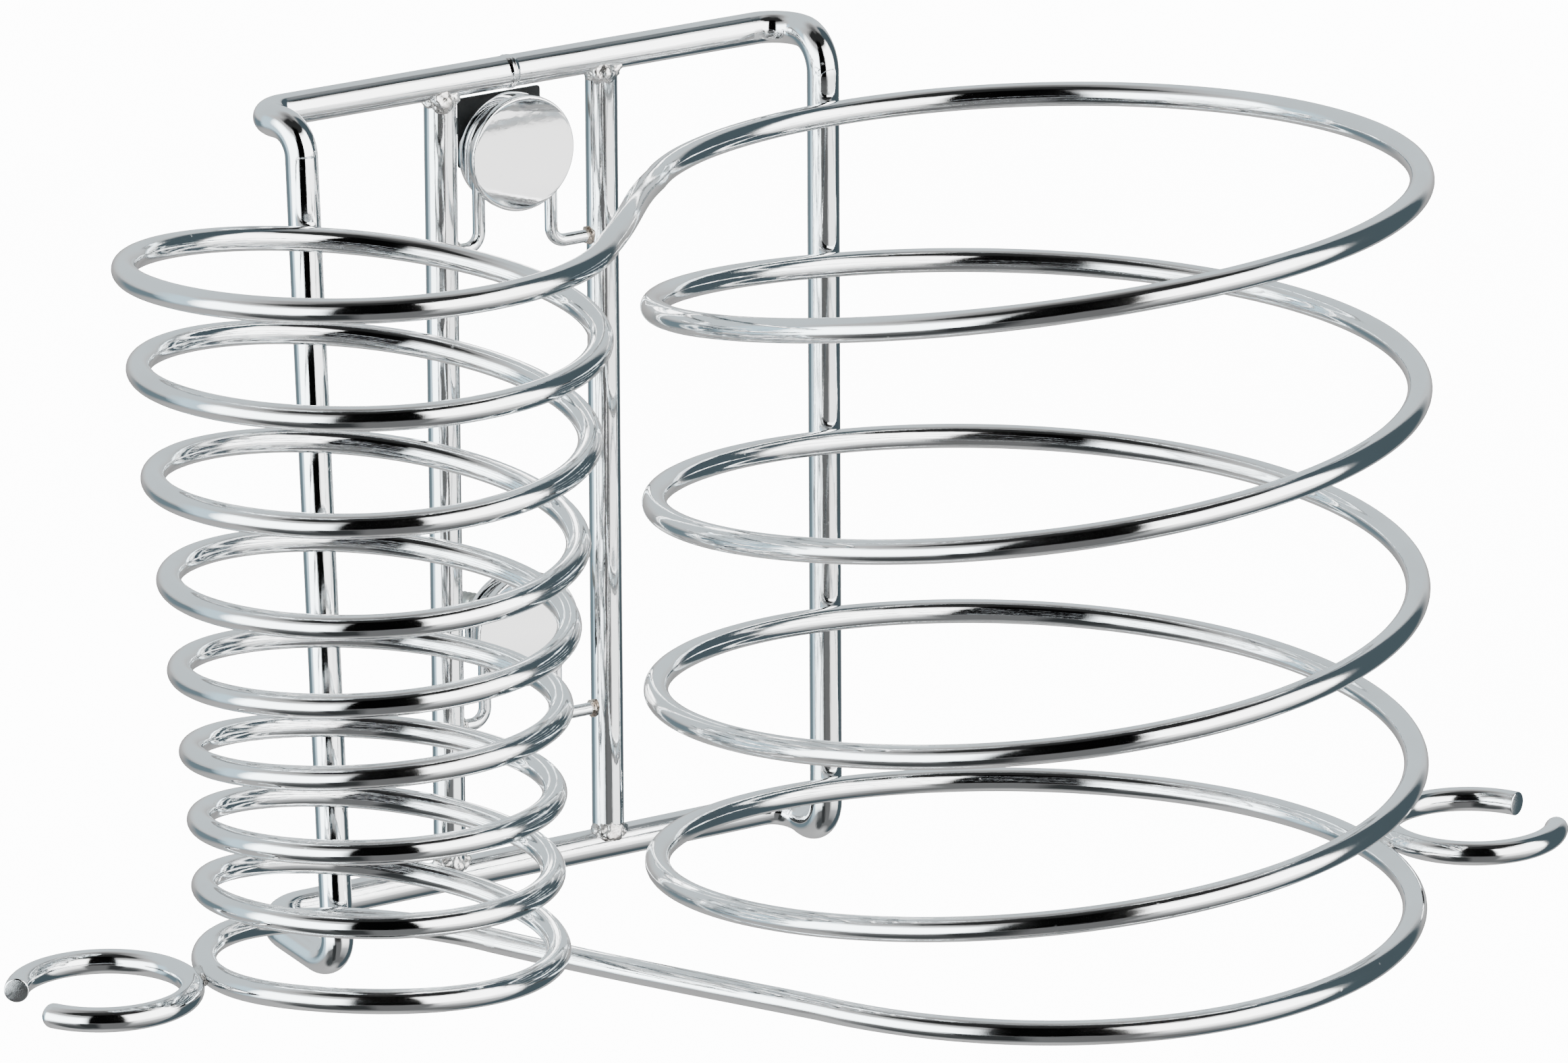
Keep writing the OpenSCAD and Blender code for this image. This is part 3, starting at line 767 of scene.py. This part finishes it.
def build_stud(which, z):
    """Backing plate (near-black, as painted shade round the flange), base, screw and cap of one stud, at
    height z.
    """
    centre = (0.0, z)
    pilot_end = NECK_END + PILOT_L
    seat = pilot_end - COUNTERBORE_DEPTH

    bm = bmesh.new()
    profile = rounded([(SCREW_BORE_R, PLATE_T), (FLANGE_D / 2, PLATE_T), (FLANGE_D / 2, PLATE_T + FLANGE_T),
                       (NECK_D / 2, PLATE_T + FLANGE_T), (NECK_D / 2, NECK_END), (PILOT_D / 2, NECK_END),
                       (PILOT_D / 2, pilot_end), (COUNTERBORE_R, pilot_end), (COUNTERBORE_R, seat),
                       (SCREW_BORE_R, seat)], 0.16)
    lathe(bm, profile + [profile[0]], centre)
    bmesh.ops.remove_doubles(bm, verts=bm.verts, dist=1e-6)
    mesh_object(f"{which}_stud_base_turned", bm, STUD_CHROME, "wall_studs",
                [f"{which}_stud_base"])

    bm = bmesh.new()
    back = NECK_END + CAP_GAP
    recess = pilot_end + CAP_RECESS_GAP
    recess_r = PILOT_D / 2 + CAP_RECESS_GAP
    shoulder = back + CAP_T - CAP_DOME
    front = [(CAP_D / 2, back + 0.2), (CAP_D / 2, shoulder - CAP_EDGE_R)]
    for k in range(1, 9):
        a = k / 8 * math.pi / 2
        front.append((CAP_D / 2 - CAP_EDGE_R * (1 - math.cos(a)), shoulder - CAP_EDGE_R * (1 - math.sin(a))))
    rim = CAP_D / 2 - CAP_EDGE_R
    for k in range(1, 25):
        s = 1 - k / 24
        front.append((rim * s, back + CAP_T - CAP_DOME * s * s))
    profile = [(0.0, recess), (recess_r, recess), (recess_r, back),
               (CAP_D / 2 - 0.2, back)] + front
    lathe(bm, profile, centre, 128)
    mesh_object(f"{which}_stud_cap_polished", bm, STUD_CHROME, f"{which}_cap",
                [f"{which}_stud_cap"])

    # the plate behind the flange, coloured near-black as painted shade
    bm = bmesh.new()
    way = 1 if which == "upper" else -1
    plan = ((0, 0), (1, 0), (1, 1), (0, 1))
    corners = [Vector((PLATE_X[i] * way, 0, PLATE_Z[j] * way)) for i, j in plan]
    outline = []
    for i, c in enumerate(corners):
        a, b = corners[i - 1], corners[(i + 1) % 4]
        p = c + (a - c).normalized() * PLATE_CORNER
        q = c + (b - c).normalized() * PLATE_CORNER
        for k in range(7):
            u = k / 6
            outline.append(p * (1 - u) ** 2 + c * 2 * u * (1 - u) + q * u ** 2)
    hole = []
    for k in range(28):
        a = 2 * math.pi * k / 28
        hole.append(Vector((SCREW_BORE_R * math.cos(a), 0, SCREW_BORE_R * math.sin(a))))
    loops = []
    for loop, inset in ((outline, PLATE_CHAMFER), (hole, -PLATE_CHAMFER)):
        for depth, shrink in ((0.0, 1), (PLATE_CHAMFER, 0), (PLATE_T - PLATE_CHAMFER, 0), (PLATE_T, 1)):
            made = []
            for p in loop:
                out = p.normalized() if p.length else Vector()
                made.append(bm.verts.new((p - out * inset * shrink + Vector((0, -depth, z))) * MM))
            loops.append(made)
    for group in (loops[:4], loops[4:]):
        for a, b in zip(group, group[1:]):
            n = len(a)
            for k in range(n):
                bm.faces.new((a[k], a[(k + 1) % n], b[(k + 1) % n], b[k]))
    for outer, inner in ((loops[0], loops[4]), (loops[3], loops[7])):
        edges = []
        for loop in (outer, inner):
            for k in range(len(loop)):
                edges.append(bm.edges.get((loop[k], loop[(k + 1) % len(loop)])))
        bmesh.ops.triangle_fill(bm, use_beauty=True, edges=edges)
    # painted shade: a near-black plate where the flange lies in shade
    mesh_object(f"{which}_painted_shade_backing_plate", bm, PAINTED_SHADE_PLATE, "wall_studs",
                [f"{which}_backing_plate"], smooth_shading=False)

    build_screw(which, z, seat)


def build_screw(which, z, seat):
    bm = bmesh.new()
    tip = -SCREW_REACH
    profile = [(0.0, tip), (THREAD_R * 0.25, tip + 0.7)]
    depth = tip + 1.2
    while depth < -1.0:
        grow = min(1.0, (depth - tip) / 5.0)
        root = THREAD_R * (0.42 + 0.26 * grow)
        crest = THREAD_R * (0.5 + 0.5 * grow)
        profile += [(root, depth), (crest, depth + THREAD_PITCH * 0.42), (root, depth + THREAD_PITCH * 0.84)]
        depth += THREAD_PITCH
    profile += [(SHANK_R, -0.4), (SHANK_R, 0.0), (SHANK_R, seat), (SCREW_HEAD_R, seat + 0.05)]
    for k in range(1, 7):
        a = k / 6 * math.pi / 2
        profile.append((SCREW_HEAD_R * math.cos(a * 0.62), seat + 0.5 + 0.85 * math.sin(a)))
    profile.append((0.0, seat + 1.38))
    lathe(bm, profile, (0.0, z), 48)
    cut = bmesh.new()
    bmesh.ops.create_cube(cut, size=1.0)
    for v in cut.verts:
        v.co = Vector((v.co.x * 7.0, -(seat + 1.4 + v.co.y * 1.2), z + v.co.z * 0.8)) * MM
    cutter_mesh = bpy.data.meshes.new("slot_cutter")
    cut.to_mesh(cutter_mesh)
    cut.free()
    cutter = bpy.data.objects.new("slot_cutter", cutter_mesh)
    bpy.context.scene.collection.objects.link(cutter)
    screw = mesh_object(f"{which}_wall_screw_threaded", bm, ZINC, "wall_studs",
                        [f"{which}_wall_screw"])
    modifier = screw.modifiers.new("slot", "BOOLEAN")
    modifier.object = cutter
    modifier.operation = "DIFFERENCE"
    apply_modifiers(screw)
    bpy.data.objects.remove(cutter)


def apply_modifiers(obj):
    depsgraph = bpy.context.evaluated_depsgraph_get()
    mesh = bpy.data.meshes.new_from_object(obj.evaluated_get(depsgraph))
    obj.modifiers.clear()
    obj.data = mesh


# ---------------------------------------------------------------- build the object

build_wall_frame()
build_butt_weld()
build_upright("left_upright", LEFT_UPRIGHT_X)
build_upright("right_upright", RIGHT_UPRIGHT_X)
build_upright_welds()
build_hanger("upper_hanger", STUD_SPACING / 2)
build_hanger("lower_hanger", -STUD_SPACING / 2)
build_spirals()
build_leg_welds()
build_hooks()
build_stud("upper", STUD_SPACING / 2)
build_stud("lower", -STUD_SPACING / 2)


# ---------------------------------------------------------------- studio

FLOOR_Z = -0.42
VIEW_AZIMUTH = 32.5
VIEW_ELEVATION = 17.5
CAMERA_PLACE = (-0.9938, -1.6380, 0.5803)
CAMERA_ROLL = -0.304
LENS = 301.2
SENSOR_WIDTH = 36.0
SUN_SPREAD = 40
SUN_ENERGY = 44.0


def floor_material():
    material, nodes, links, shader = new_material("studio_floor")
    place = add(nodes, "ShaderNodeTexCoord")
    cloud = add(nodes, "ShaderNodeTexNoise")
    cloud.inputs["Scale"].default_value = 3.0
    links.new(place.outputs["Object"], cloud.inputs["Vector"])
    tint = ramp(nodes, [(0.3, (0.90, 0.90, 0.90)), (0.7, (0.94, 0.94, 0.94))])
    links.new(cloud.outputs["Fac"], tint.inputs["Fac"])
    links.new(tint.outputs["Color"], shader.inputs["Base Color"])
    shader.inputs["Roughness"].default_value = 0.85
    return material


def build_floor():
    bpy.ops.mesh.primitive_plane_add(size=60, location=(0, 0, FLOOR_Z))
    floor = bpy.context.object
    floor.name = "studio_floor"
    floor.data.materials.append(floor_material())
    floor.visible_glossy = False
    floor.visible_diffuse = False


def direction(azimuth, elevation):
    """Unit vector towards a place round the studio; azimuth 0 is straight out from the wall."""
    a, e = math.radians(azimuth), math.radians(elevation)
    return Vector((math.sin(a) * math.cos(e), -math.cos(a) * math.cos(e), math.sin(e)))


class Studio:
    """The room round the object, as a world shader: each zone is a soft-edged field of light or
    dark at some azimuth (0 straight out from the wall, + to the right) and elevation, in degrees."""

    def __init__(self, name):
        world = bpy.data.worlds.new(name)
        bpy.context.scene.world = world
        world.use_nodes = True
        self.nodes, self.links = world.node_tree.nodes, world.node_tree.links
        self.background = self.nodes["Background"]
        place = self.nodes.new("ShaderNodeTexCoord")
        split = self.nodes.new("ShaderNodeSeparateXYZ")
        self.links.new(place.outputs["Generated"], split.inputs["Vector"])
        back = self.math("MULTIPLY", split.outputs["Y"], -1.0)
        turn = self.math("ARCTAN2", split.outputs["X"], back)
        self.azimuth = self.math("DEGREES", turn)
        self.elevation = self.math("DEGREES", self.math("ARCSINE", split.outputs["Z"]))
        self.colour = None

    def math(self, operation, *values, clamp=False):
        node = add(self.nodes, "ShaderNodeMath", operation=operation, use_clamp=clamp)
        for socket, value in zip(node.inputs, values):
            if isinstance(value, (int, float)):
                socket.default_value = value
            else:
                self.links.new(value, socket)
        return node.outputs["Value"]

    def base(self, stops):
        """Tone by elevation: pairs of (elevation, grey)."""
        tone = ramp(self.nodes, [((e + 90) / 180, g) for e, g in stops])
        self.links.new(self.math("MULTIPLY_ADD", self.elevation, 1 / 180, 0.5), tone.inputs["Fac"])
        self.colour = tone.outputs["Color"]

    def blend(self, share, colour, strength):
        mix = add(self.nodes, "ShaderNodeMix", data_type="RGBA", clamp_factor=True)
        self.links.new(share, mix.inputs["Factor"])
        self.links.new(self.colour, mix.inputs["A"])
        mix.inputs["B"].default_value = (*(c * strength for c in colour), 1)
        self.colour = mix.outputs["Result"]

    def edge(self, value, middle, half, soft):
        """1 inside middle +- half, falling to 0 over soft degrees."""
        turned = self.math("WRAP", self.math("SUBTRACT", value, middle), HALF_TURN, -HALF_TURN)
        off = self.math("ABSOLUTE", turned)
        return self.math("DIVIDE", self.math("SUBTRACT", half + soft / 2, off), soft, clamp=True)

    def zone(self, azimuths, elevations, soft, colour, strength):
        share = self.math(
            "MULTIPLY",
            self.edge(self.azimuth, sum(azimuths) / 2, (azimuths[1] - azimuths[0]) / 2, soft[0]),
            self.edge(self.elevation, sum(elevations) / 2, (elevations[1] - elevations[0]) / 2, soft[1]))
        self.blend(share, colour, strength)

    def done(self):
        self.links.new(self.colour, self.background.inputs["Color"])
        self.background.inputs["Strength"].default_value = 1.0


NEUTRAL = (0.97, 0.99, 1.0)
BLUE = (0.62, 0.86, 1.0)
PALE_BLUE = (0.84, 0.95, 1.0)
COOL = (0.88, 0.97, 1.0)
WARM = (1.0, 0.998, 0.985)


def build_world():
    """Two tall softboxes at the front with the dark room between, above and beside them, a grey
    table below and a pale wall side."""
    studio = Studio("studio")
    studio.base([(-90, 0.75), (-62, 0.62), (-38, 0.58), (-20, 0.40), (4, 0.85), (35, 0.85),
                 (62, 0.66), (80, 0.2), (90, 0.1)])
    studio.zone((118, 232), (0, 60), (22, 14), PALE_BLUE, 1.05)
    studio.zone((-100, 106), (-78, -16), (26, 16), NEUTRAL, 0.19)
    studio.zone((-104, -58), (-70, -42), (16, 12), COOL, 0.085)
    studio.zone((-178, -126), (-28, -6), (16, 8), BLUE, 0.3)
    studio.zone((-104, 74), (48, 84), (24, 8), NEUTRAL, 0.032)
    studio.zone((64, 114), (-70, 62), (10, 12), BLUE, 0.13)
    studio.zone((-136, -106), (-26, 26), (14, 14), BLUE, 1.5)
    studio.zone((-114, -52), (-22, 29), (10, 14), COOL, 8.5)
    studio.zone((2, 62), (-44, -6), (8, 26), NEUTRAL, 0.8)
    studio.zone((4, 61), (-25, -6), (8, 14), WARM, 3.0)
    studio.zone((-6, 61), (-8, 46), (6, 12), WARM, 7.5)
    studio.zone((-48, -2), (-54, -14), (6, 8), NEUTRAL, 0.19)
    studio.zone((-62, -37), (-62, -19), (8, 6), COOL, 0.05)
    studio.zone((-49, -4), (-15, 62), (6, 6), NEUTRAL, 0.002)
    studio.done()


def build_lights():
    """An even light from above for the floor. The mirror surfaces show only the studio round them."""
    data = bpy.data.lights.new("ceiling_light", "SUN")
    data.angle = math.radians(SUN_SPREAD)
    data.energy = SUN_ENERGY
    light = bpy.data.objects.new("ceiling_light", data)
    light.visible_glossy = False
    bpy.context.scene.collection.objects.link(light)


def build_camera():
    """Long lens at the front left, a little above; the picture's width is the sensor's width."""
    data = bpy.data.cameras.new("camera")
    data.sensor_width = SENSOR_WIDTH
    data.lens = LENS
    data.clip_end = 100.0
    camera = bpy.data.objects.new("camera", data)
    bpy.context.scene.collection.objects.link(camera)
    back = direction(-VIEW_AZIMUTH, VIEW_ELEVATION)
    right = Vector((0, 0, 1)).cross(back).normalized()
    up = back.cross(right)
    roll = math.radians(CAMERA_ROLL)
    x_axis = right * math.cos(roll) + up * math.sin(roll)
    y_axis = up * math.cos(roll) - right * math.sin(roll)
    turn = Matrix((x_axis, y_axis, back)).transposed().to_4x4()
    camera.matrix_world = Matrix.Translation(CAMERA_PLACE) @ turn
    bpy.context.scene.camera = camera


build_floor()
build_world()
build_lights()
build_camera()
